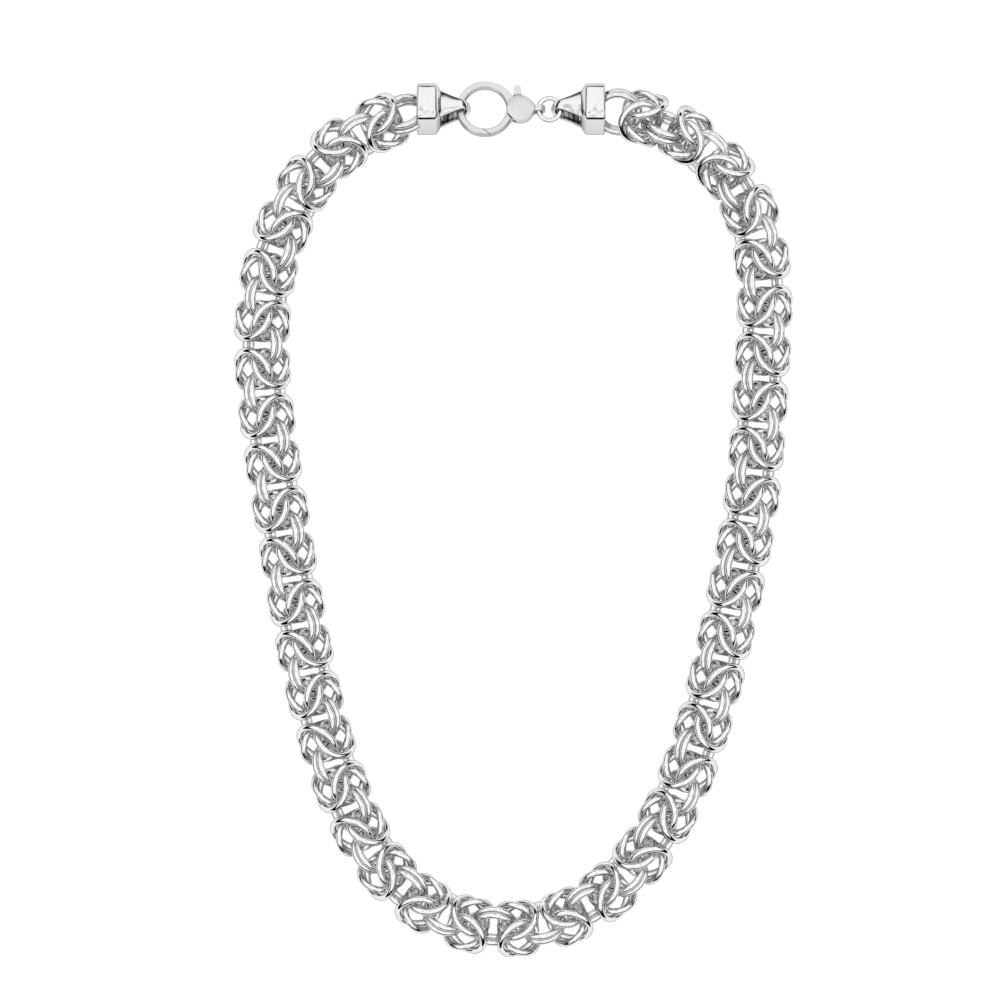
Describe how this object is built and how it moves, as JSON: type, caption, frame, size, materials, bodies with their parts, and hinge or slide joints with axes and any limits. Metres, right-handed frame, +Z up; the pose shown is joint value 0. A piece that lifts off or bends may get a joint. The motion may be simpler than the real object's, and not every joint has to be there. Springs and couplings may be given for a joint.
{
  "type": "byzantine chain necklace",
  "caption": "Neck chain of interlinked round links in a byzantine weave, with square end caps, open bails, a jump ring and a ring clasp with a sprung gate.",
  "frame": {"origin": "under the middle of the loop's bounding box, on the surface the necklace lies on", "axes": "+Z is up, away from that surface; +Y points from the loop's bottom to the clasp; +X is to the right as seen from above"},
  "size_m": [0.1141, 0.1792, 0.0114],
  "materials": {
    "chain_silver": "highly polished silver wire",
    "cap_silver": "polished silver",
    "clasp_silver": "bright silver with fine slanting lines",
    "ring_silver": "polished silver wire"
  },
  "bodies": {
    "necklace": {"chain_left": "chain_silver", "chain_right": "chain_silver", "end_cap_left": "cap_silver", "end_cap_right": "cap_silver", "clasp_body": "clasp_silver", "jump_ring": "ring_silver"},
    "lever": {"clasp_lever": "clasp_silver"}
  },
  "joints": [
    {"name": "lever_pivot", "type": "hinge", "parent": "necklace", "child": "lever", "pos_m": [0.00144, 0.08406, 0.0057], "axis": [0, 0.2588, 0.9659], "range_deg": [-22, 0], "stiffness_Nm_per_rad": 0.02, "springref_deg": 8.59}
  ]
}
